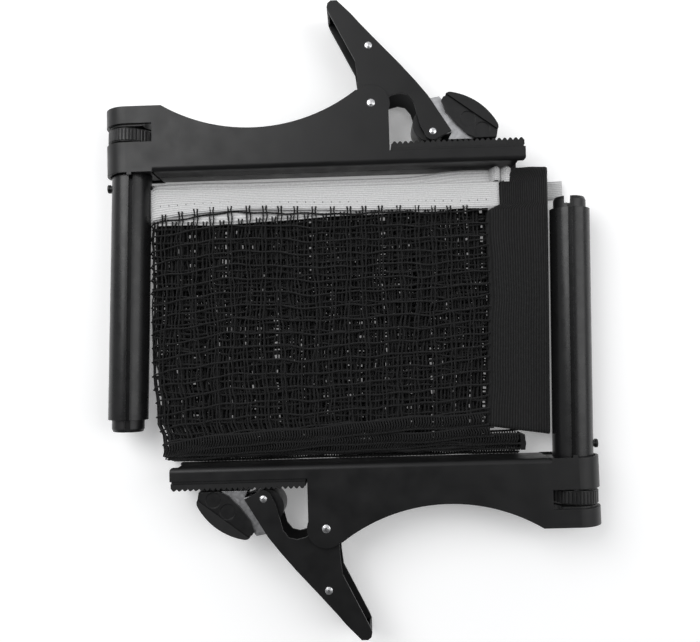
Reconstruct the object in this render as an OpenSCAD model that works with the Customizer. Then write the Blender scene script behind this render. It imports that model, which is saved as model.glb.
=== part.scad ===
// Clip-on table tennis net set, packed flat: two spring clamps, each with its
// net post, lying head to tail with the folded net between them.
// Each clamp is drawn once in its own coordinates: x runs from the throat, where
// the table edge stops, towards the post; y runs up the post from the table top;
// z runs from the back face, which lies on the floor, to the front face.

/* [Clamp body] */
// Depth of the clamp body, back face to front face
body_d = 27; // [26.6:0.2:28]
// Thickness of the body's steel sheet
sheet_t = 1.5; // [1.2:0.1:1.6]
// Height of the body's top edge above the table top
body_top = 12; // [11.6:0.1:12.4]
// Reach of the upper jaw over the table
jaw_reach = 71.3; // [71:0.1:72]
// Distance from the table edge to the post's axis
post_x = 139.9; // [139.5:0.1:140.5]
// Depth of the body below the table top at the post
lug_drop = 23.5; // [23:0.1:24]
// Radius of the arch cut in the body's lower edge
arch_r = 92.6; // [92:0.1:93]
// Radius of the body's ear round the lever's pivot
ear_r = 10; // [9.6:0.1:10.2]

/* [Lever] */
// Sheet thickness of the lever
lever_t = 1.2; // [1:0.1:1.4]
// Width across the lever's two flanges
lever_w = 22.4; // [22:0.1:22.6]
// Radius of the pivot rivet's shank
pivot_r = 1.7; // [1.4:0.1:1.9]
// Diameter of the spring's wire
spring_wire = 1.8; // [1.4:0.1:1.9]
// Turns in the spring
spring_turns = 7; // [5:1:8]

/* [Pad] */
// Thickness of the rubber pad
pad_t = 5.7; // [5.2:0.1:6]
// Width of the rubber pad across the clamp
pad_w = 25.4; // [24:0.2:26]

/* [Jaw strip] */
// Distance from one tooth to the next
tooth_pitch = 2.9; // [2.8:0.05:3]
// Number of teeth along the strip
tooth_count = 24; // [20:1:24]

/* [Post] */
// Outer diameter of the post tube
tube_d = 21; // [20.6:0.1:21.4]
// Wall thickness of the post tube
tube_t = 1.2; // [1:0.1:1.4]
// Height of the tube's top end above the table top
tube_top = 143; // [140:0.5:144]
// Height of the cap's top above the table top
post_h = 149.4; // [148:0.1:150.5]
// Width of the groove down the tube's front
slot_w = 2; // [1.8:0.1:2.4]
// Depth of the groove
slot_deep = 1.5; // [1.3:0.1:1.8]
// Turn of the groove from the front, towards the net
slot_turn = 13; // [8:1:14]
// Outward lean of the post
lean = 1.7; // [0:0.1:1.8]
// Radius of the thumbwheel
wheel_r = 12.7; // [12.4:0.1:12.9]
// Thickness of the thumbwheel
wheel_h = 7.1; // [6.8:0.1:7.3]

/* [Packing] */
// Distance between the two clamps' body edges, which is the net's height
pack_gap = 156; // [155:0.1:157]
// Distance from the middle of the pack to each throat, along the beams
throat_shift = 24; // [23.5:0.1:24.5]
// Thickness of the folded net
net_t = 15; // [12:0.5:17]

/* [Hidden] */
$fn = 48;

mid_z = body_d / 2;
tube_r = tube_d / 2;
bore_r = tube_r - tube_t;
running = 0.05;                      // radial clearance of a running fit
seat = 0.02;                         // radial clearance of a fixed pin
pivot = [9.2, -20.8];                // the lever's pivot
jaw_pin = pivot + [-32.4, 15.6];     // the rivet that carries the pad
handle_pin = pivot + [0.4, -32];     // the rivet across the handle
pin_r = 1.5;                         // shank of the jaw and handle rivets
arch_c = [72.3, -102.4];              // centre of the arch
bend_r = 2.5;                        // outer radius of the body's folded top edges
lip_end = 125.9;                     // where the top lips stop, before the post
window_y = [-14.2, -4.2];            // the thumbwheel's window, bottom and top
metal_y = 5;                         // lower edge of the upper jaw's sheet
lever_z = mid_z - lever_w / 2;       // back face of the lever
wheel_y = -12.4;                     // lower face of the thumbwheel
screw_r = 3;
black = "#26272a";
steel = "#c9cbcf";
rubber = "#1c1c1e";

// ---- placing the two clamps -------------------------------------------------

// The left clamp hangs head down; the right clamp stands the way it is used.
edge_y = pack_gap / 2 + body_top;
module left() translate([throat_shift, edge_y, 0]) rotate([0, 0, 180]) children();
module right() translate([-throat_shift, -edge_y, 0]) children();

// A shape drawn on the x-y plane, extruded from z = low to z = high
module slab(low, high) translate([0, 0, low]) linear_extrude(high - low) children();

// A round bar along z at point p
module bar(p, r, low, high) translate([p.x, p.y, low]) cylinder(r = r, h = high - low);

// A round bar along y at the post, from height low to height high
module upright(r, low, high) {
  translate([post_x, low, mid_z]) rotate([-90, 0, 0]) cylinder(r = r, h = high - low);
}

// Parts drawn upright, leant outwards about the middle of the thumbwheel
module leant() {
  about = [post_x, wheel_y + wheel_h / 2, 0];
  translate(about) rotate([0, 0, -lean]) translate(-about) children();
}

// ---- clamp body -------------------------------------------------------------

module arch() translate(arch_c) circle(r = arch_r, $fn = 120);

// Side plate: upper jaw, throat edge, ear, arch and the lug under the post
module plate_outline() {
  side_top = body_top - bend_r;
  difference() {
    union() {
      translate([-jaw_reach, metal_y]) square([jaw_reach + 1, side_top - metal_y]);
      translate([0, pivot.y]) square([post_x, side_top - pivot.y]);
      translate([pivot.x, -lug_drop]) square([post_x - pivot.x, lug_drop]);
      translate([pivot.x, -28]) square([16, 8]);
      translate(pivot) circle(r = ear_r);
    }
    arch();
  }
}

// The sheet folded in over the top, as a section across the body
module fold_section(r, inset) {
  low = metal_y - 1;
  top = body_top - inset;
  translate([low, inset]) square([top - r - low, body_d - 2 * inset]);
  translate([low, inset + r]) square([top - low, body_d - 2 * inset - 2 * r]);
  for (z = [inset + r, body_d - inset - r]) translate([top - r, z]) circle(r = r);
}

module folded_top() {
  seam = 0.3;
  corner = 1.3;
  lip_back = 3.7;
  difference() {
    translate([-jaw_reach, 0, 0]) rotate([90, 0, 90]) linear_extrude(jaw_reach + lip_end) {
      difference() {
        fold_section(bend_r, 0);
        fold_section(bend_r - sheet_t, sheet_t);
        translate([0, -1]) square([body_top - bend_r, body_d + 2]);
        translate([0, mid_z - seam / 2]) square([body_top + 1, seam]);
      }
    }
    // rounded corner at the end of the jaw
    slab(-1, body_d + 1) difference() {
      translate([-jaw_reach - 1, body_top - corner]) square(corner + 1);
      translate([-jaw_reach + corner, body_top - corner]) circle(r = corner);
    }
    // the lips stop short of the jaw's end, past the bends
    translate([-jaw_reach - 1, body_top - sheet_t - 0.5, bend_r + 0.5]) cube([lip_back + 1, sheet_t + 1, body_d - 2 * bend_r - 1]);
  }
}

// The sheet carried round the outside of the post
module post_bend() {
  difference() {
    upright(mid_z, -lug_drop, body_top);
    upright(mid_z - sheet_t, -lug_drop - 1, body_top + 1);
    translate([post_x - mid_z - 1, -lug_drop - 1, -1]) cube([mid_z + 1, lug_drop + body_top + 2, body_d + 2]);
  }
}

module frame() {
  tab = 2.6;                         // tab on the front edge, at the post's slot
  tab_x = post_x - 1.7;
  color(black) difference() {
    union() {
      slab(0, sheet_t) plate_outline();
      slab(body_d - sheet_t, body_d) plate_outline();
      folded_top();
      post_bend();
      // top edge of the plates beside the post, where there are no lips
      for (z = [0, body_d - sheet_t]) {
        translate([lip_end, body_top - bend_r - 0.5, z]) cube([post_x - lip_end, bend_r + 0.5, sheet_t]);
      }
      // throat wall that meets the table's edge
      translate([0, -19.5, sheet_t - 0.1]) cube([sheet_t, 19.5 + metal_y, body_d - 2 * sheet_t + 0.2]);
      translate([tab_x - tab / 2, body_top - 1, body_d - sheet_t]) cube([tab, 2.4, sheet_t]);
    }
    bar(pivot, pivot_r + seat, -1, body_d + 1);
    translate([lip_end, window_y[0], -1]) cube([60, window_y[1] - window_y[0], body_d + 2]);
  }
}

module strip_carrier() {
  color(steel) translate([-jaw_reach + 0.8, 3.7, 0.6]) cube([jaw_reach - 1.6, metal_y - 3.7, body_d - 1.2]);
}

// Rubber strip whose blunt teeth grip the table top
module jaw_strip() {
  gum = 1.25;                        // height of the tooth row
  first = -jaw_reach + 1.9;
  root_w = tooth_pitch / 2 - 0.05;   // half width of a tooth at its root
  color(rubber) slab(1, body_d - 1) {
    translate([first - 1.6, gum]) square([tooth_count * tooth_pitch + 0.4, 3.7 - gum]);
    for (i = [0 : tooth_count - 1]) translate([first + i * tooth_pitch, 0]) {
      polygon([[-root_w, gum + 0.1], [-root_w, gum], [-0.55, 0.15], [-0.3, 0], [0.3, 0], [0.55, 0.15], [root_w, gum],
        [root_w, gum + 0.1]]);
    }
  }
}

module screw_guide() {
  low = -lug_drop + 0.5;
  high = wheel_y - 0.7;
  color(rubber) difference() {
    union() {
      upright(mid_z - sheet_t - running, low, high);
      translate([post_x - 9, low, sheet_t]) cube([9, high - low, body_d - 2 * sheet_t]);
    }
    leant() upright(screw_r + running, low - 1, high + 1);
  }
}

module post_guide() {
  color(rubber) difference() {
    union() {
      upright(mid_z - sheet_t - running, 2, body_top - 1);
      translate([post_x - 11.9, 2, sheet_t]) cube([11.9, body_top - 3, body_d - 2 * sheet_t]);
    }
    leant() upright(tube_r + running, 1, body_top);
  }
}

// A rivet's domed head at p, standing on height z
module head(p, r, z) translate([p.x, p.y, z]) {
  cylinder(r1 = r, r2 = 0.8 * r, h = 0.35);
  translate([0, 0, 0.35]) cylinder(r1 = 0.8 * r, r2 = 0.35 * r, h = 0.25);
}

// ---- lever, its pivot and its spring -----------------------------------------

function arc(c, r, from, to, steps) =
  [for (i = [0 : steps]) let(a = from + (to - from) * i / steps) c + r * [cos(a), sin(a)]];

// Palm edge of the lever, from the handle's tip to the jaw, measured from the pivot
palm = [[16.6, -57.3], [9, -49.5], [5, -44.7], [-4, -34.6], [-16, -21.5], [-24.5, -11.5], [-30.5, -3.8], [-42.3, 15.6]];
// Edge of the notch beside the throat, and the inner edge of the handle
notch = [[-26.1, 13], [-24.3, 6], [-22.5, -1], [-19.5, -4.7], [-15.5, -5.7], [-10.7, -4.5]];
inner = [[6.5, -8.4], [6.9, -16.5], [7.8, -24.1], [21.2, -51], [22.1, -53.5], [21.6, -55.9], [19.8, -57.3]];

// Outline of each flange
module lever_outline() {
  translate(pivot) {
    polygon(concat(palm, arc(jaw_pin - pivot, 4.5, 125, 10, 8), notch, [[0, 3]], inner));
    circle(r = 7.3);
  }
}

// The web that joins the two flanges along the palm edge of the handle
module lever_web() {
  in = [0.75, 0.68] * lever_t;
  edge = [for (i = [0 : 4]) palm[i]];
  translate(pivot) {
    polygon(concat(edge, [for (i = [4 : -1 : 0]) palm[i] + in]));
    // round the handle's tip
    polygon([palm[0], [19.8, -57.3], [21.6, -55.9], [22.1, -53.5], [20.9, -53.3], [20.5, -55.3], [19.4, -56.1], palm[0] + in]);
  }
}

module lever() {
  color(black) difference() {
    union() {
      for (z = [lever_z, lever_z + lever_w - lever_t]) slab(z, z + lever_t) lever_outline();
      slab(lever_z, lever_z + lever_w) lever_web();
    }
    bar(pivot, pivot_r + running, -1, body_d + 1);
    bar(jaw_pin, pin_r + seat, -1, body_d + 1);
    bar(handle_pin, pin_r + seat, -1, body_d + 1);
  }
}

module pivot_rivet() {
  color(steel) {
    bar(pivot, pivot_r, 0, body_d);
    head(pivot, 2.3, body_d);
  }
}

module pivot_washers() {
  thick = lever_z - sheet_t - running;
  color(steel) for (z = [sheet_t, body_d - sheet_t - thick]) difference() {
    bar(pivot, 4.5, z, z + thick);
    bar(pivot, pivot_r + seat, z - 1, z + thick + 1);
  }
}

module pivot_sleeve() {
  gap = lever_z + lever_t + 0.1;
  color(steel) difference() {
    bar(pivot, 3.4, gap, body_d - gap);
    bar(pivot, pivot_r + seat, gap - 1, body_d - gap + 1);
  }
}

// The spring's wire: a short leg up the throat wall, the coil and a long leg along the handle
coil_r = 5.2;
coil_z = [6.5, 20.5];
short_leg = [-6.5, 12.5];
long_leg = [-3.2, -29];
function coil_point(i, n) =
  let(a = 180 + 360 * spring_turns * i / n)
  [pivot.x + coil_r * cos(a), pivot.y + coil_r * sin(a), coil_z[0] + (coil_z[1] - coil_z[0]) * i / n];
coil_steps = spring_turns * 14;
spring_path = concat(
  [[pivot.x + short_leg.x, pivot.y + short_leg.y, coil_z[0]]],
  [for (i = [0 : coil_steps]) coil_point(i, coil_steps)],
  [[pivot.x + long_leg.x, pivot.y + long_leg.y, coil_z[1]]]);

function unit(v) = v / norm(v);
// A ring of points round the path at point i, square to it
function ring(path, i, r, sides) =
  let(
    last = len(path) - 1,
    t = unit(path[min(i + 1, last)] - path[max(i - 1, 0)]),
    s = unit(cross(t, [0, 0, 1])),
    w = cross(s, t))
  [for (k = [0 : sides - 1]) path[i] + r * (s * cos(360 * k / sides) + w * sin(360 * k / sides))];

module wire(path, r, sides) {
  n = len(path);
  points = [for (i = [0 : n - 1]) each ring(path, i, r, sides)];
  skin = [for (i = [0 : n - 2], k = [0 : sides - 1])
    let(a = i * sides + k, b = i * sides + (k + 1) % sides) [a, b, b + sides, a + sides]];
  ends = [
    [for (k = [sides - 1 : -1 : 0]) k],
    [for (k = [0 : sides - 1]) (n - 1) * sides + k]];
  polyhedron(points, concat(skin, ends));
}

module spring() color(steel) wire(spring_path, spring_wire / 2, 8);

module handle_rivet() {
  color(steel) {
    bar(handle_pin, pin_r, lever_z, lever_z + lever_w);
    head(handle_pin, 2.1, lever_z + lever_w);
  }
}

module jaw_rivet() {
  color(steel) {
    bar(jaw_pin, pin_r, lever_z, lever_z + lever_w);
    head(jaw_pin, 2, lever_z + lever_w);
  }
}

// Nylon block on the jaw rivet, between the bracket's ears
module jaw_block() {
  color(rubber) slab(5.2, body_d - 5.2) difference() {
    intersection() {
      translate(pivot + [-31, 11]) circle(r = 9);
      translate([-40, -20]) square([60, 19.1]);
    }
    translate(jaw_pin) circle(r = pin_r + seat);
  }
}

// ---- swivelling pad under the jaw ---------------------------------------------

pad_mid = [-43.5, -15.3];            // middle of the face between holder and rubber
pad_turn = 143.1;                    // direction of the pad's length
ear_z = [3.9, 1];                    // back face and thickness of the bracket's back ear

// A shape drawn with x along the pad and y away from its gripping face
module on_pad() translate(pad_mid) rotate(pad_turn) children();

module ear_outline() {
  polygon([[-46, -1], [-31.6, -1], [-33.4, -4.8], jaw_pin + [-3, 2.8], jaw_pin + [3, -2.8],
    [-22.3, -23.5], [-27.3, -24.4], [-36, -13.5]]);
  translate(jaw_pin) circle(r = 4.2);
}

// Web between the bracket's ears, moulded into the holder
module bracket_web() on_pad() translate([-11, -7]) square([7, 1]);

module pad_bracket() {
  color(steel) {
    for (z = [ear_z[0], body_d - ear_z[0] - ear_z[1]]) slab(z, z + ear_z[1]) difference() {
      ear_outline();
      translate(jaw_pin) circle(r = pin_r + running);
    }
    slab(ear_z[0], body_d - ear_z[0]) bracket_web();
  }
}

// Back of the pad: thickest towards the strip, cut off level below the teeth
module holder_outline() {
  on_pad() polygon([[-14.8, 0], [-16.3, -1.9], [-16.1, -4.3], [-11.4, -7.5], [-3, -9.7], [6, -11], [10.2, -10.3],
    [19.2, -3.5], [17.4, 0]]);
}

module pad_holder() {
  mark = 0.4;                        // depth of the round marks on its two faces
  color(rubber) difference() {
    slab(2, body_d - 2) holder_outline();
    for (p = [[-49.2, -5.2], [-41.8, -11.3]], z = [2, body_d - 2]) bar(p, 4, z - mark, z + mark);
    for (z = [ear_z[0], body_d - ear_z[0] - ear_z[1]]) slab(z - seat, z + ear_z[1] + seat) {
      offset(delta = seat) ear_outline();
    }
    slab(ear_z[0], body_d - ear_z[0]) offset(delta = seat) bracket_web();
  }
}

// Rubber pad with a crowned face and rounded ends
module pad() {
  crown_r = 33.9;
  end_r = 3.5;
  color(rubber) slab(mid_z - pad_w / 2, mid_z + pad_w / 2) on_pad() intersection() {
    translate([-20, 0]) square([40, pad_t + 1]);
    offset(r = end_r) offset(delta = -end_r) intersection() {
      translate([-16.2, -10]) square([33.6, 20]);
      translate([1, pad_t - crown_r]) circle(r = crown_r, $fn = 96);
    }
  }
}

// ---- net post and its height screw ---------------------------------------------

foot_y = 1;                          // lower end of the tube

// A bar along the post's front, turned towards the net, between two distances from the post's axis
module front_bar(width, near, far, low, high) {
  translate([post_x, low, mid_z]) rotate([0, -slot_turn, 0]) translate([-width / 2, 0, near]) cube([width, high - low, far - near]);
}

rail_w = slot_w + 2 * tube_t;        // the wall folded in behind the groove
rail_r = tube_r - slot_deep - 1;     // the wall's inner face, from the post's axis

module post_tube() {
  color(black) leant() difference() {
    upright(tube_r, foot_y, tube_top);
    difference() {
      upright(bore_r, foot_y - 1, tube_top + 1);
      front_bar(rail_w, rail_r, tube_r, foot_y - 2, tube_top + 2);
    }
    front_bar(slot_w, tube_r - slot_deep, tube_r + 1, foot_y - 1, tube_top + 1);
    hook_bar(1.8 + seat, 0);
  }
}

// Cap whose crown carries the groove on; notch = depth of a gap right through the crown
module post_cap(notch) {
  crown_r = 8.5;
  taper = 1.6;                       // height of the crown's tapered end
  gap = [3.1, 15, -1.1];             // the gap's width, turn and shift towards the net
  color(rubber) leant() difference() {
    union() {
      upright(bore_r - seat, tube_top - 12, tube_top);
      upright(crown_r, tube_top, post_h - taper);
      translate([post_x, post_h - taper, mid_z]) rotate([-90, 0, 0]) cylinder(r1 = crown_r, r2 = crown_r - 0.7, h = taper);
    }
    front_bar(rail_w + 0.4, rail_r - 0.2, tube_r, tube_top - 13, tube_top);
    front_bar(slot_w + 0.6, crown_r - 1.2, tube_r, tube_top - 1, post_h + 1);
    if (notch > 0) {
      translate([post_x, post_h - notch, mid_z]) rotate([0, -gap[1], 0]) translate([gap[2] - gap[0] / 2, 0, -mid_z]) {
        cube([gap[0], 20, body_d]);
      }
    }
  }
}

module post_foot() {
  color(rubber) leant() difference() {
    upright(bore_r - seat, foot_y, foot_y + 13);
    upright(screw_r + seat, foot_y - 1, foot_y + 10);
    front_bar(rail_w + 0.4, rail_r - 0.2, tube_r, foot_y - 1, foot_y + 14);
  }
}

module post_screw() color(steel) leant() upright(screw_r, -20, foot_y + 9.9);

// A stub along x, out through the side of the tube
module hook_bar(r, head) {
  translate([post_x + bore_r - 1, 18, mid_z]) rotate([0, 90, 0]) {
    cylinder(r = r, h = tube_t + 3.2);
    if (head > 0) translate([0, 0, tube_t + 2.2]) cylinder(r = head, h = 1.2);
  }
}

module post_hook() color(rubber) leant() hook_bar(1.8, 2.3);

module thumbwheel() {
  ridges = 40;
  groove = 0.35;
  bevel = 0.5;
  color(rubber) leant() difference() {
    union() {
      upright(wheel_r - bevel, wheel_y, wheel_y + wheel_h);
      upright(wheel_r, wheel_y + bevel, wheel_y + wheel_h - bevel);
    }
    upright(5.2, wheel_y - 1, wheel_y + wheel_h + 1);
    for (i = [0 : ridges - 1]) translate([post_x, wheel_y - 1, mid_z]) rotate([0, i * 360 / ridges, 0]) {
      translate([wheel_r, 0, 0]) rotate([0, 45, 0]) translate([-groove, 0, -groove]) cube([2 * groove, wheel_h + 2, 2 * groove]);
    }
  }
}

module wheel_nut() {
  color("#b8923e") leant() difference() {
    upright(5.2 - seat, wheel_y, wheel_y + wheel_h);
    upright(screw_r + running, wheel_y - 1, wheel_y + wheel_h + 1);
  }
}

// ---- folded net ----------------------------------------------------------------

net_left = -105.5;                   // fold beside the left post
net_edge = pack_gap / 2 - 0.5;       // the net stops just short of each beam
tape_y = [56.7, 68.5];               // the front fold of the white top tape
tape_right = 80;
sleeve_foot = [[72.7, -64], [104.9, -67]];
join = 0.2;                          // space between neighbouring folds

// A folded stack of cloth, from an outline seen from the front
module folds(outline, high) slab(0, high) polygon(outline);
function block(x, y) = [[x[0], y[0]], [x[1], y[0]], [x[1], y[1]], [x[0], y[1]]];

module net_mesh() color("#202023") {
  folds([[net_left, -70], [71.4, -70], [72.4, -64], [tape_right - 1, tape_y[0] - join], [net_left, tape_y[0] - join]], net_t);
}

module net_tape() color("white") folds(block([net_left, tape_right], tape_y), net_t + 1.4);

module net_tape_folds() color("white") folds(block([net_left, 78], [tape_y[1] + join, net_edge]), net_t - 2);

module net_tape_roll() color("white") folds(block([78.2, 90], [tape_y[1] + join, net_edge]), net_t);

module net_end_sleeve() color("#1d1d20") {
  folds([sleeve_foot[0], sleeve_foot[1], [109.1, net_edge], [90.2, net_edge], [90.2, tape_y[1]], [tape_right + 1.1, tape_y[1]]],
    net_t + 2);
}

module net_tape_end() color("white") folds(block([109.3, 120], [62.3, 72.8]), 5);

module net_hem() color("#202023") folds(block([-102, 89], [-net_edge, -70 - join]), net_t - 2);

// ---- nodes ---------------------------------------------------------------------

left() frame();  // left_frame
left() strip_carrier();  // left_strip_carrier
left() jaw_strip();  // left_jaw_strip
left() lever();  // left_lever
left() pivot_rivet();  // left_pivot_rivet
left() pivot_washers();  // left_pivot_washers
left() pivot_sleeve();  // left_pivot_sleeve
left() spring();  // left_spring
left() handle_rivet();  // left_handle_rivet
left() jaw_rivet();  // left_jaw_rivet
left() jaw_block();  // left_jaw_block
left() pad_bracket();  // left_pad_bracket
left() pad_holder();  // left_pad_holder
left() pad();  // left_pad
left() post_tube();  // left_post_tube
left() post_cap(0);  // left_post_cap
left() post_foot();  // left_post_foot
left() post_screw();  // left_post_screw
left() post_hook();  // left_post_hook
left() post_guide();  // left_post_guide
left() screw_guide();  // left_screw_guide
left() thumbwheel();  // left_thumbwheel
left() wheel_nut();  // left_wheel_nut
right() frame();  // right_frame
right() strip_carrier();  // right_strip_carrier
right() jaw_strip();  // right_jaw_strip
right() lever();  // right_lever
right() pivot_rivet();  // right_pivot_rivet
right() pivot_washers();  // right_pivot_washers
right() pivot_sleeve();  // right_pivot_sleeve
right() spring();  // right_spring
right() handle_rivet();  // right_handle_rivet
right() jaw_rivet();  // right_jaw_rivet
right() jaw_block();  // right_jaw_block
right() pad_bracket();  // right_pad_bracket
right() pad_holder();  // right_pad_holder
right() pad();  // right_pad
right() post_tube();  // right_post_tube
right() post_cap(4);  // right_post_cap
right() post_foot();  // right_post_foot
right() post_screw();  // right_post_screw
right() post_hook();  // right_post_hook
right() post_guide();  // right_post_guide
right() screw_guide();  // right_screw_guide
right() thumbwheel();  // right_thumbwheel
right() wheel_nut();  // right_wheel_nut
net_mesh();
net_tape();
net_tape_folds();
net_tape_roll();
net_end_sleeve();
net_tape_end();
net_hem();
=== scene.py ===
import math
import random

import bpy
import numpy as np
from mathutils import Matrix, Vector


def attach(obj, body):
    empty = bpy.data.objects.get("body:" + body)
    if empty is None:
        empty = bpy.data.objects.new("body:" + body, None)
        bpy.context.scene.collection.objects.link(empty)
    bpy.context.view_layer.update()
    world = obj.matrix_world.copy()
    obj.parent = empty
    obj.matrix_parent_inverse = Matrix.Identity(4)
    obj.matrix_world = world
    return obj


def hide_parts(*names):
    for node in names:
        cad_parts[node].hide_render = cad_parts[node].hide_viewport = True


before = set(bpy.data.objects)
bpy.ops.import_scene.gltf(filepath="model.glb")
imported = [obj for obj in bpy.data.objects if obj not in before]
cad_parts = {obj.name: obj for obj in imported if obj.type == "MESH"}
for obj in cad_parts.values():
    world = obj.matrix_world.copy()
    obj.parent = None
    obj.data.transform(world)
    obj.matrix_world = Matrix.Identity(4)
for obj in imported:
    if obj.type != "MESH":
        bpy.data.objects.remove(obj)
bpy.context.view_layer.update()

MM = 0.001
scene = bpy.context.scene
scene.view_settings.view_transform = "Standard"

# ---- camera -----------------------------------------------------------------

camera = bpy.data.objects.new("camera", bpy.data.cameras.new("camera"))
scene.collection.objects.link(camera)
scene.camera = camera
camera.location = (0.00647, -0.02365, 0.4091)
camera.rotation_euler = [math.radians(a) for a in (2.875, 0.983, -1.662)]
camera.data.sensor_fit = "HORIZONTAL"
camera.data.sensor_width = 36
camera.data.lens = 37.8
camera.data.clip_start = 0.01

# ---- light ------------------------------------------------------------------

world = bpy.data.worlds.new("studio")
scene.world = world
world.use_nodes = True
sky = world.node_tree
# A soft pale room with a dark patch overhead, a little towards -Y, and dimmer all the way towards -Y
DARK_PATCH = (-0.06, -0.34, 0.93)     # direction of its middle
direction = sky.nodes.new("ShaderNodeTexCoord")
towards = sky.nodes.new("ShaderNodeVectorMath")
towards.operation = "DOT_PRODUCT"
towards.inputs[1].default_value = Vector(DARK_PATCH).normalized()
sky.links.new(direction.outputs["Generated"], towards.inputs[0])
level = sky.nodes.new("ShaderNodeMapRange")
level.interpolation_type = "SMOOTHSTEP"
for key, value in (("From Min", 0.8), ("From Max", 0.985), ("To Min", 0.62), ("To Max", 0.1)):
    level.inputs[key].default_value = value
sky.links.new(towards.outputs["Value"], level.inputs["Value"])
split = sky.nodes.new("ShaderNodeSeparateXYZ")
sky.links.new(direction.outputs["Generated"], split.inputs["Vector"])
front_dim = sky.nodes.new("ShaderNodeMapRange")
for key, value in (("From Min", -0.8), ("From Max", 0.4), ("To Min", 0.3), ("To Max", 1.0)):
    front_dim.inputs[key].default_value = value
sky.links.new(split.outputs["Y"], front_dim.inputs["Value"])
strength = sky.nodes.new("ShaderNodeMath")
strength.operation = "MULTIPLY"
sky.links.new(level.outputs["Result"], strength.inputs[0])
sky.links.new(front_dim.outputs["Result"], strength.inputs[1])
sky.nodes["Background"].inputs["Color"].default_value = (0.97, 0.98, 1, 1)
sky.links.new(strength.outputs[0], sky.nodes["Background"].inputs["Strength"])


def area_light(name, place, size, watts):
    data = bpy.data.lights.new(name, "AREA")
    data.shape = "RECTANGLE"
    data.size, data.size_y = size
    data.energy = watts
    lamp = bpy.data.objects.new(name, data)
    scene.collection.objects.link(lamp)
    lamp.location = place
    lamp.rotation_euler = Vector(place).to_track_quat("Z", "Y").to_euler()


area_light("key", (-0.5, 0.42, 0.8), (0.7, 0.7), 6.3)
area_light("fill", (0.8, 0.05, 0.75), (0.6, 0.9), 3.8)

# ---- materials --------------------------------------------------------------


def material(name, color, rough, tone, grain=None, metal=0.0, wave=None, edge=0.0, spec=0.5, sheen=0.0,
             uv=False):
    """A Principled material. grain = (size in mm, depth in mm) of its fine texture, or None,
    tone = (size in mm, darkest, lightest) of its uneven colour,
    wave = (pitch in mm, axis, depth in mm, darkest) of its ribs, with darkest as painted shade in the grooves
    between the ribs, edge = radius in mm of its rounded edges."""
    m = bpy.data.materials.new(name)
    m.use_nodes = True
    t = m.node_tree
    bsdf = t.nodes["Principled BSDF"]
    bsdf.inputs["Metallic"].default_value = metal
    bsdf.inputs["Specular IOR Level"].default_value = spec
    bsdf.inputs["Sheen Weight"].default_value = sheen
    bsdf.inputs["Sheen Roughness"].default_value = 0.4
    coords = t.nodes.new("ShaderNodeTexCoord")
    source = coords.outputs["UV" if uv else "Object"]

    def node(kind, **inputs):
        n = t.nodes.new(kind)
        for k, v in inputs.items():
            n.inputs[k].default_value = v
        return n

    def noise(size, detail=3.0):
        n = node("ShaderNodeTexNoise", Scale=1 / (size * MM), Detail=detail, Roughness=0.55)
        t.links.new(source, n.inputs["Vector"])
        return n.outputs["Fac"]

    def from_noise(size, low, high):
        ramp = node("ShaderNodeMapRange", **{"From Min": 0.3, "From Max": 0.7, "To Min": low, "To Max": high})
        t.links.new(noise(size), ramp.inputs["Value"])
        return ramp.outputs["Result"]

    size, dark, light = tone
    shade = from_noise(size, dark, light)
    heights = []
    if wave:
        pitch, axis, depth, darkest = wave
        bands = node("ShaderNodeTexWave", Scale=math.pi / (10 * pitch * MM), Distortion=0.3, Detail=1.0)
        bands.inputs["Detail Scale"].default_value = 2
        bands.wave_type = "BANDS"
        bands.bands_direction = axis
        bands.wave_profile = "SIN"
        t.links.new(source, bands.inputs["Vector"])
        # Painted shade: the colour falls to darkest in the rib grooves, where the bump is lowest
        low = node("ShaderNodeMapRange", **{"To Min": darkest, "To Max": 1.0})
        t.links.new(bands.outputs["Fac"], low.inputs["Value"])
        both = t.nodes.new("ShaderNodeMath")
        both.operation = "MULTIPLY"
        t.links.new(shade, both.inputs[0])
        t.links.new(low.outputs["Result"], both.inputs[1])
        shade = both.outputs[0]
        heights.append((bands.outputs["Fac"], depth))
    mix = t.nodes.new("ShaderNodeVectorMath")
    mix.operation = "SCALE"
    mix.inputs[0].default_value = color
    t.links.new(shade, mix.inputs["Scale"])
    t.links.new(mix.outputs[0], bsdf.inputs["Base Color"])
    t.links.new(from_noise(size * 0.4, rough - 0.06, rough + 0.06), bsdf.inputs["Roughness"])
    normal = None
    if edge:
        bevel = node("ShaderNodeBevel", Radius=edge * MM)
        bevel.samples = 4
        normal = bevel.outputs["Normal"]
    if grain:
        heights.append((noise(grain[0], 2.0), grain[1]))
    for value, depth in heights:
        bump = node("ShaderNodeBump", Distance=depth * MM, Strength=1.0)
        t.links.new(value, bump.inputs["Height"])
        if normal:
            t.links.new(normal, bump.inputs["Normal"])
        normal = bump.outputs["Normal"]
    if normal:
        t.links.new(normal, bsdf.inputs["Normal"])
    return m


powder = material("powder_coat", (0.007, 0.007, 0.0073), 0.4, grain=(0.45, 0.012), tone=(25, 0.85, 1.2),
                  edge=0.5, spec=0.34)
post_paint = material("post_paint", (0.007, 0.007, 0.0073), 0.28, grain=(0.5, 0.006), tone=(20, 0.9, 1.15),
                      edge=0.3, spec=0.36)
zinc = material("zinc_plate", (0.5, 0.5, 0.51), 0.38, grain=(0.3, 0.01), tone=(3, 0.75, 1.1),
                metal=1.0, edge=0.3)
bright = material("bright_steel", (0.78, 0.78, 0.79), 0.25, grain=(0.2, 0.004), tone=(2, 0.85, 1.1),
                  metal=1.0, edge=0.3)
spring_steel = material("spring_steel", (0.42, 0.42, 0.43), 0.35, grain=(0.3, 0.006), tone=(3, 0.8, 1.1),
                        metal=1.0)
brass = material("brass", (0.75, 0.56, 0.27), 0.3, grain=(0.3, 0.005), tone=(3, 0.85, 1.1), metal=1.0)
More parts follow.
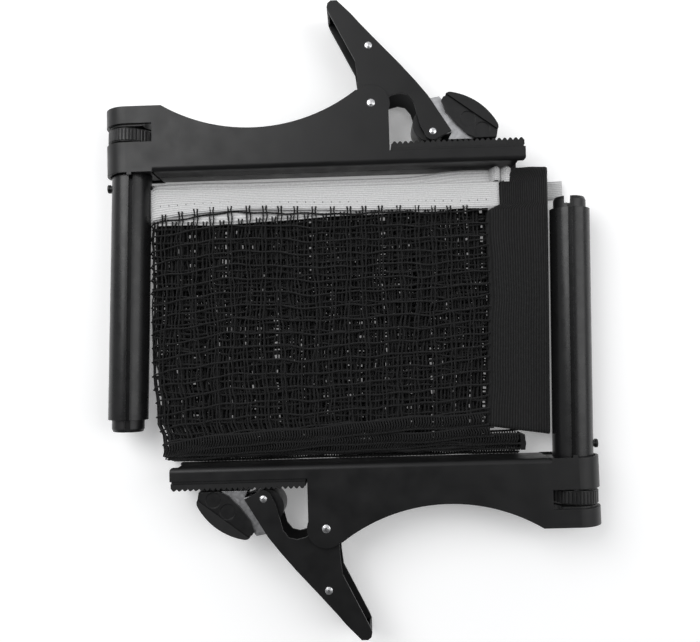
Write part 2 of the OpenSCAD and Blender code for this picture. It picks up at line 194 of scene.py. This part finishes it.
rubber = material("black_rubber", (0.006, 0.006, 0.0063), 0.62, grain=(0.3, 0.02), tone=(6, 0.8, 1.25),
                  edge=0.3, spec=0.36)
pad_rubber = material("pad_rubber", (0.01, 0.01, 0.0103), 0.6, grain=(0.35, 0.02), tone=(4, 0.85, 1.2),
                      edge=0.4, spec=0.3)
nylon = material("black_nylon", (0.007, 0.007, 0.0073), 0.36, grain=(0.5, 0.01), tone=(10, 0.85, 1.2),
                 edge=0.5, spec=0.4)
twine = material("net_twine", (0.0065, 0.0065, 0.0068), 0.8, grain=(0.25, 0.05), tone=(0.9, 0.55, 1.5),
                 spec=0.32, sheen=0.06)
# The white tape's ribs: colour down to 0.8 in the grooves, painted shade
white = material("white_tape", (0.74, 0.74, 0.74), 0.85, grain=(0.35, 0.06), tone=(0.8, 0.88, 1.08),
                 wave=(1.0, "Y", 0.2, 0.8), sheen=0.4, uv=True)
# The sleeve's ribs: colour down to 0.3 in the grooves, painted shade
sleeve_cloth = material("sleeve_cloth", (0.014, 0.014, 0.0143), 0.85, grain=(0.3, 0.05), tone=(2, 0.75, 1.3),
                        wave=(1.3, "X", 0.25, 0.3), spec=0.35, sheen=0.08, uv=True)
thread = material("stitch_thread", (0.16, 0.16, 0.16), 0.7, grain=(0.2, 0.02), tone=(1, 0.8, 1.2))

CAD_LOOKS = {
    "frame": powder, "strip_carrier": powder, "jaw_strip": rubber, "lever": powder,
    "pivot_rivet": bright, "pivot_washers": bright, "pivot_sleeve": bright, "spring": spring_steel,
    "handle_rivet": bright, "jaw_rivet": bright, "jaw_block": nylon,
    "pad_bracket": zinc, "pad_holder": nylon, "pad": pad_rubber,
    "post_tube": post_paint, "post_cap": nylon, "post_foot": nylon, "post_screw": bright, "post_hook": nylon,
    "post_guide": nylon, "screw_guide": nylon, "thumbwheel": nylon, "wheel_nut": brass}
for name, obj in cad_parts.items():
    side, _, part = name.partition("_")
    if part in CAD_LOOKS and side in ("left", "right"):
        obj.data.materials.clear()
        obj.data.materials.append(CAD_LOOKS[part])

# ---- making meshes ----------------------------------------------------------


class Mesh:
    """Points, faces and UVs collected in mm, then made into one object."""

    def __init__(self):
        self.points, self.faces, self.uvs, self.n = [], [], [], 0

    def closed_grid(self, p, uv=None):
        """A closed skin through the rings of p, rings x points x 3, with a flat face over each end ring."""
        rows, cols = p.shape[:2]
        i = np.arange(rows - 1)[:, None]
        j = np.arange(cols)[None, :]
        next_j = (j + 1) % cols
        quads = np.stack([i * cols + j, i * cols + next_j, (i + 1) * cols + next_j, (i + 1) * cols + j], -1)
        self.points.append(p.reshape(-1, 3))
        self.uvs.append(np.zeros((rows * cols, 2)) if uv is None else uv.reshape(-1, 2))
        self.faces += (quads.reshape(-1, 4) + self.n).tolist()
        last = self.n + (rows - 1) * cols
        self.faces.append([self.n + c for c in range(cols)][::-1])
        self.faces.append([last + c for c in range(cols)])
        self.n += rows * cols

    def tube(self, line, radius, ref, sides=4):
        """A tube round a line; ref is a direction that the line never runs along."""
        line = np.asarray(line, float)
        t = np.gradient(line, axis=0)
        t /= np.linalg.norm(t, axis=1)[:, None]
        a = np.cross(t, ref)
        a /= np.linalg.norm(a, axis=1)[:, None]
        b = np.cross(t, a)
        k = np.arange(sides) * 2 * math.pi / sides
        r = np.broadcast_to(radius, len(line))[:, None, None]
        round_line = np.cos(k)[None, :, None] * a[:, None] + np.sin(k)[None, :, None] * b[:, None]
        self.closed_grid(line[:, None] + r * round_line)

    def make(self, name, look, body, slot):
        """The object, with its material and its body. slot is not used."""
        mesh = bpy.data.meshes.new(name)
        points = np.concatenate(self.points) * MM
        mesh.from_pydata(points.tolist(), [], self.faces)
        uv = np.concatenate(self.uvs)
        layer = mesh.uv_layers.new(name="along_across")
        loops = np.zeros(len(mesh.loops), np.int32)
        mesh.loops.foreach_get("vertex_index", loops)
        layer.data.foreach_set("uv", uv[loops].ravel())
        mesh.polygons.foreach_set("use_smooth", [True] * len(mesh.polygons))
        mesh.materials.append(look)
        mesh.validate()
        obj = bpy.data.objects.new(name, mesh)
        scene.collection.objects.link(obj)
        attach(obj, body)
        return obj


def wavy(s, seed, *terms):
    """A smooth wander along s: the sum of (height, wavelength) terms."""
    total = 0
    for n, (height, length) in enumerate(terms):
        total = total + height * np.sin(2 * math.pi * s / length + seed * 1.7 + n * 2.1)
    return total


# ---- the folded net ---------------------------------------------------------

LAYERS = 10
GAP = 1.42                      # from one layer's middle to the next
BOTTOM = 1.28                   # height of the lowest layer's middle
LEFT, RIGHT = -104.8, 76.0      # the folds, at the net's two sides
TOP, SECOND = LAYERS - 1, LAYERS - 2
rng = random.Random(7)


def fold_at(k):
    """x of the fold between layers k and k + 1."""
    if (SECOND - k) % 2 == 0:
        return LEFT + rng.uniform(0, 2.2)
    return RIGHT - rng.uniform(0, 2.4)


start = RIGHT if SECOND % 2 == 0 else LEFT
ends = [start] + [fold_at(k) for k in range(LAYERS - 1)] + [RIGHT]
# How far each hidden layer's tape hangs below the highest
drop = [rng.uniform(0, 2.6) for _ in range(SECOND)]
foot_y = [rng.uniform(-74.5, -66) for _ in range(SECOND)]   # each hidden layer's foot
# Where each layer's rows start, as a share of a row
row_shift = [rng.uniform(0, 1) for _ in range(SECOND)] + [0.3, 0.22]


def folded_path(step, first=0, last=TOP):
    """x, z, layer position and length along the net, folded to and fro."""
    xs, zs, ks = [], [], []
    for k in range(first, last + 1):
        z = BOTTOM + GAP * k
        a, b = ends[k], ends[k + 1]
        n = max(2, int(abs(b - a) / step))
        for i in range(n + 1):
            f = i / n
            xs.append(a + (b - a) * f)
            zs.append(z)
            ks.append(k + (f - 0.5) * 0.9)
        if k < last:
            turn = 1 if b > a else -1
            for i in (1, 2, 3):
                angle = math.pi * i / 4
                xs.append(b + turn * GAP * 0.9 * math.sin(angle))
                zs.append(z + GAP / 2 * (1 - math.cos(angle)))
                ks.append(k + 0.5)
    x, z, k = np.array(xs), np.array(zs), np.array(ks)
    s = np.concatenate([[0], np.cumsum(np.hypot(np.diff(x), np.diff(z)))])
    return x, z, k, s


def by_layer(rows, k):
    """Each point's value from its own layer's row, blended into the next layer's round the fold."""
    rows = np.array([np.broadcast_to(r, k.shape) for r in rows])
    at = np.arange(len(k))
    within = np.clip(k, 0, TOP)
    low = np.minimum(within.astype(int), TOP - 1)
    nearest = np.round(within).astype(int)
    flat = rows[low, at] + (rows[low + 1, at] - rows[low, at]) * (within - low)
    own = rows[nearest, at]
    return own + (flat - own) * np.clip((np.abs(k - nearest) - 0.3) / 0.2, 0, 1)


def bump(x, middle, width):
    return np.exp(-((x - middle) / width) ** 2)


def smooth(f):
    f = np.clip(f, 0, 1)
    return f * f * (3 - 2 * f)


def tape_high(x, k):
    """Upper edge of the tape. The layers behind reach further up, and rise beside the jaw's end."""
    behind = 73.8 + 1.5 * bump(x, -106, 30) + 2.9 * smooth((x - 25) / 34)
    corner = 3.4 * (1 - np.sqrt(1 - np.clip(1 - (x - LEFT) / 3.4, 0, 1) ** 2))
    front = 70.2 - 0.7 * smooth((x + 60) / 140) - corner
    return by_layer([behind - d for d in drop] + [behind, front], k)


def tape_low(x, k):
    """Lower edge of the tape. The second layer hangs lower than the front one, most of all on the left."""
    front = 56.3 + 2.2 * bump(x, -60, 38) - 1.3 * bump(x, 62, 25)
    second = 48.7 + 7.2 * np.clip((x + 101) / 178, 0, 1) ** 0.65
    behind = 61.4 + 1.5 * bump(x, -106, 30) + 2.9 * smooth((x - 25) / 34)
    return by_layer([behind - d for d in drop] + [second, front], k)


def settle(x, y):
    """x moved so that the net's right side runs along the sleeve and its lower left corner is drawn in."""
    f = (x - LEFT) / (RIGHT - LEFT)
    right_in = np.minimum(0, 0.056 * (y - 5))
    left_in = 1.7 * smooth((-34 - y) / 10) + 3.2 * smooth((-55 - y) / 9) - 1.1 * smooth((56 - y) / 12)
    return x + f * right_in + (1 - f) * left_in


def place(x, k, v):
    """y of the net at v, from 0 at the tape to 1 at the foot."""
    front_foot = -66.5 + 11.5 * (x - LEFT) / (RIGHT - LEFT)
    top, foot = tape_low(x, k), by_layer(list(foot_y) + [-71.5, front_foot], k)
    sag = wavy(x, 0.3 + np.round(k) * 1.9, (1.1, 150), (0.6, 67), (0.35, 31))
    return top + (foot - top) * v + sag * np.sin(math.pi * np.clip(v, 0, 1)) ** 0.5


ROWS = 16
COLUMN = 9.15                   # from one upright pair of cords to the next
HEIGHT = 130                    # of the mesh, about
front, back = Mesh(), Mesh()


def cords(target, first, last, step, side_step, r, hook):
    """Knitted cords of some of the layers, of radius r. hook is how far the upright pairs rise over
    the tape's edge. Without it the layers are hidden, and their pairs are unevenly spaced."""
    x, z, k, s = folded_path(step, first, last)
    for j in range(ROWS + 1):
        v = (j + by_layer(row_shift, k)) / (ROWS + 0.5)
        y = place(x, k, v) + wavy(s, j * 0.9, (0.35, 43), (0.28, 19))
        lift = 0.22 * np.sin(s / 4.6 + j) + wavy(s, j * 2.3, (0.2, 57))
        beads = 1 + 0.16 * np.sin(2 * math.pi * s / 1.9)
        target.tube(np.stack([settle(x, y), y, z + lift], 1), r * beads, (0, 1, 0))
    for i in range(int(s[-1] / COLUMN)):
        at = (i + 0.5) * COLUMN + (0 if hook else 2.2 * math.sin(i * 2.4))
        cx, cz, ck = np.interp(at, s, x), np.interp(at, s, z), np.interp(at, s, k)
        v = np.linspace(-0.018, 1.0, max(6, int(HEIGHT / side_step)))
        heading = 1 if int(round(ck)) % 2 == TOP % 2 else -1
        for sign in (-1, 1):
            knot = np.abs(np.sin(math.pi * v * ROWS))
            wander = wavy(v * HEIGHT, i * 0.7 + ck, (1.1, 165), (0.5, 61), (0.22, 17))
            off = sign * (0.72 + 0.38 * knot) + wander
            xx = np.clip(cx + off * heading, LEFT - 0.8, RIGHT + 1.2)
            yy = place(np.full_like(v, cx), np.full_like(v, ck), v)
            twist = 0.28 * np.cos(math.pi * v * ROWS * 2 + i) + sign * 0.12
            zz = cz + twist + hook * np.clip(1 - v * 40, 0, 1)
            beads = 1 + 0.14 * np.sin(v * HEIGHT * 2 * math.pi / 1.7 + i)
            target.tube(np.stack([settle(xx, yy), yy, zz], 1), r * 0.86 * beads, (1, 0, 0))


# The hidden cords are thicker than the front ones, so that less of the floor shows between them
cords(back, 0, SECOND - 1, 4.0, 5.0, 0.7, 0)
cords(front, SECOND, TOP, 0.75, 0.8, 0.48, 1.1)
net_front = front.make("net_front_folds", twine, "net", "black_net")
net_back = back.make("net_back_folds", twine, "net", "black_net")

# The hem along the net's foot: bands of chain stitch, bunched up against the clamp
hem = Mesh()
# (x from, x to, y from, y to, height, z)
HEM_BANDS = [
    (-101, 73, -69.5, -57.5, 6.4, 15.0),
    (-94, 76, -71.8, -65.0, 4.8, 14.2),
    (-100, 91, -72.6, -68.6, 5.2, 12.6),
    (-100, 90, -70.5, -71.8, 5.0, 10.8),
    (-100.5, 91, -72.8, -70.4, 5.2, 9.0),
    (-99, 90.5, -70.8, -72.4, 4.6, 7.4),
    (-100, 91, -73.8, -71.2, 5.0, 5.6),
    (-100, 90, -74.6, -74.9, 5.4, 3.8),
    (-99, 91, -75.2, -74.7, 5.6, 2.2),
    (-30, 90, -68.8, -67.6, 4.8, 6.4)]
HEM_FOOT, HEM_FOOT_LOW = -75.2, -77.2       # lowest y of the upper bands, and of those below LOW_Z
LOW_Z = 5
CHAIN = 0.7                                 # step of the chain stitch


def hem_band(n, x0, x1, y0, y1, high, z):
    x = np.arange(x0, x1, CHAIN)
    f = (x - x0) / (x1 - x0)
    mid = y0 + (y1 - y0) * f ** 0.8 + wavy(x, n * 1.3, (0.55, 88), (0.3, 37))
    mid = np.maximum(mid, (HEM_FOOT_LOW if z < LOW_Z else HEM_FOOT) + high / 2)
    zz = z + wavy(x, n * 2.2, (0.35, 71), (0.2, 23))
    for edge in (-0.5, 0.5):
        line = np.stack([x, mid + edge * high, zz - abs(edge) * 0.3], 1)
        hem.tube(line, 0.55 * (1 + 0.16 * np.sin(x * 3.3 + n)), (0, 1, 0))
    for i in range(0, len(x) - 3, 2):
        lean = 0.5 * math.sin(i * 0.07 + n)
        stitch = np.array([
            [x[i] - lean - 0.5, mid[i] - high / 2, zz[i]],
            [x[i] + 0.4, mid[i], zz[i] + 0.45],
            [x[i] + lean - 0.3, mid[i] + high / 2, zz[i]]])
        hem.tube(stitch, 0.42, (1, 0, 0))


def hem_end():
    """Cords side by side that close the right end of the bands."""
    for n, x in enumerate((90.0, 90.8, 91.5)):
        for z in (2.4, 4.2, 6.0, 7.8, 9.6, 11.4, 12.8):
            y = np.linspace(-75.0, -66.2 - n * 0.4, 12)
            hem.tube(np.stack([x + wavy(y, z, (0.25, 7)), y, np.full_like(y, z)], 1), 0.55, (1, 0, 0))


for n, band in enumerate(HEM_BANDS):
    hem_band(n, *band)
hem_end()
net_hem = hem.make("net_foot_hem", twine, "net", "black_net")

# ---- the white tape ---------------------------------------------------------

THICK = 0.7                     # of the tape


def ribbon(name, x, y_low, y_high, z, s):
    """A band of tape along x, z between its two edges, as a closed sheet. s is the length along it."""
    m = Mesh()
    w = np.linspace(0, 1, 9)
    t = np.gradient(np.stack([x, z], 1), axis=0)
    t /= np.linalg.norm(t, axis=1)[:, None]
    nx, nz = -t[:, 1], t[:, 0]
    shells = []
    for face in (1, -1):
        d = face * THICK / 2 * (0.55 + 0.45 * np.sin(math.pi * np.clip(w, 0.06, 0.94)) ** 0.3)
        px = x[:, None] + nx[:, None] * d[None, :]
        pz = z[:, None] + nz[:, None] * d[None, :]
        py = y_low[:, None] + (y_high - y_low)[:, None] * w[None, :]
        shells.append(np.stack([px, py, pz], -1))
    loop = np.concatenate([shells[0], shells[1][:, ::-1]], 1)
    uv_across = np.concatenate([w, w[::-1]]) * np.mean(y_high - y_low) * MM
    uv = np.stack(np.broadcast_arrays(s[:, None] * MM, uv_across[None, :]), -1)
    m.closed_grid(loop, uv)
    return m.make(name, white, "net", "white_tape")


def folded_tape():
    x, z, k, s = folded_path(2.0)
    low = tape_low(x, k) + wavy(s, 0.4, (0.25, 90), (0.15, 37))
    high = tape_high(x, k)
    x = x + (x - LEFT) / (RIGHT - LEFT) * 7.2 - 0.4
    z = z + np.where(k > TOP - 0.6, 0.55, 0.0) + wavy(s, 1.1, (0.12, 77))
    return ribbon("top_tape", x, low, high, z, s)


def turned_loops():
    """Two loops of tape standing beside the sleeve's top corner."""
    u = np.linspace(0, 1, 80)
    x = 78.4 + 11.4 * u
    z = 11.8 + 4.6 * np.abs(np.sin(2 * math.pi * u)) ** 0.6 + 0.15 * np.sin(u * 70)
    low = 69.4 + 0.5 * np.sin(2 * math.pi * u)
    high = 77.4 - 0.7 * np.abs(np.cos(2 * math.pi * u))
    return ribbon("tape_loops", x, low, high, z, u * 26)


def end_past_sleeve():
    x = np.linspace(104, 119.8, 20)
    low = np.full_like(x, 60.6)
    return ribbon("tape_end", x, low, low + 10.4, 3.2 + 0.5 * np.sin(x / 3.1), x)


def stitch_row():
    """Short stitches along the front of the tape."""
    stitches = Mesh()
    pitch, half, above_edge = 4.65, 0.35, 4.6
    z = BOTTOM + GAP * TOP
    for i in range(39):
        x = -101 + i * pitch
        edge = float(tape_low(np.array([x]), np.array([float(TOP)]))[0])
        y = edge + above_edge + 0.2 * math.sin(x / 20)
        line = [[x, y - half, z + 0.75], [x + 0.1, y, z + 0.95], [x, y + half, z + 0.75]]
        stitches.tube(line, 0.2, (1, 0, 0))
    return stitches.make("tape_stitches", thread, "net", "white_tape")


tape = folded_tape()
loops = turned_loops()
tape_end = end_past_sleeve()
stitch_piece = stitch_row()

# ---- the sleeve at the net's end ---------------------------------------------

RIBS, RIB = 24, 1.3             # how many, and their pitch
SIDE_Z = 8.2                    # height of the sleeve's two side edges


def rounded(across, width, radius):
    """From 0 at the two edges to 1, radius further in, along a quarter circle."""
    from_edge = np.minimum(across, 1 - across) * width
    return np.sqrt(np.clip(1 - (1 - np.clip(from_edge / radius, 0, 1)) ** 2, 0, 1))


def sleeve_ring(y):
    """One ring round the sleeve, and its UVs: over the ribbed top, then back underneath."""
    over = np.linspace(0, 1, 220)
    under = np.linspace(1, 0, 40)[1:-1]
    across = np.concatenate([over, under])
    left = 72.3 + 3.7 * min(1, (y + 61) / 66) + 6.2 * float(smooth((y - 54.4) / 2.6)) + max(0, y - 68.6)
    left += 0.3 * math.sin(y / 9.0) + 0.15 * math.sin(y / 3.7)
    width = 106.0 + 0.0302 * (y + 62) - left
    closing = min(1.0, min(y + 67.5, 77.8 - y) / 1.6) ** 0.5
    round_off = rounded(over, width, 2.6)
    top = 16.3 + 0.5 * math.sin(y / 31.0) - 0.008 * abs(y)
    rib = 0.45 * np.abs(np.sin(math.pi * over * RIBS)) ** 0.8
    swell = 0.5 * np.sin(over * 9 + y / 23.0) * round_off
    seam = -0.55 * math.exp(-((y - 71.6) / 0.6) ** 2)
    high = SIDE_Z + (top - SIDE_Z) * round_off * closing + (rib + swell + seam) * round_off
    low = SIDE_Z - 7.4 * closing * rounded(under, width, 4.0)
    x = left + width * across
    # The foot is cut on a slant
    slant = min(1, max(0, (-30 - y) / 36)) ** 1.5
    ring = np.stack([x, y + (5.1 - 0.156 * (x - 71.8)) * slant, np.concatenate([high, low])], 1)
    return ring, np.stack([across * RIBS * RIB * MM, np.full(len(x), y * MM)], 1)


def net_sleeve():
    foot, head = np.linspace(-67, -66, 5)[:-1], np.linspace(76.4, 77.3, 5)[1:]
    rings = [sleeve_ring(y) for y in np.concatenate([foot, np.linspace(-66, 76.4, 90), head])]
    sleeve = Mesh()
    sleeve.closed_grid(np.array([ring for ring, _ in rings]), np.array([uv for _, uv in rings]))
    return sleeve.make("net_end_sleeve_cloth", sleeve_cloth, "net", "black_sleeve_cloth")


sleeve_piece = net_sleeve()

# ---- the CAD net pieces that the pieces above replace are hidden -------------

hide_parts("net_mesh")
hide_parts("net_hem")
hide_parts("net_tape", "net_tape_folds")
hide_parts("net_tape_roll")
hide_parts("net_tape_end")
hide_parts("net_end_sleeve")

# ---- floor ------------------------------------------------------------------

floor_mesh = bpy.data.meshes.new("floor")
floor_mesh.from_pydata([(-3, -3, 0), (3, -3, 0), (3, 3, 0), (-3, 3, 0)], [], [(0, 1, 2, 3)])
floor = bpy.data.objects.new("floor", floor_mesh)
scene.collection.objects.link(floor)
floor.location.z = -0.0003
paper = material("floor", (0.9, 0.9, 0.9), 0.7, tone=(200, 0.99, 1.0), spec=0.2)
paper.node_tree.nodes["Principled BSDF"].inputs["Emission Color"].default_value = (1, 1, 1, 1)
paper.node_tree.nodes["Principled BSDF"].inputs["Emission Strength"].default_value = 0.22
floor_mesh.materials.append(paper)
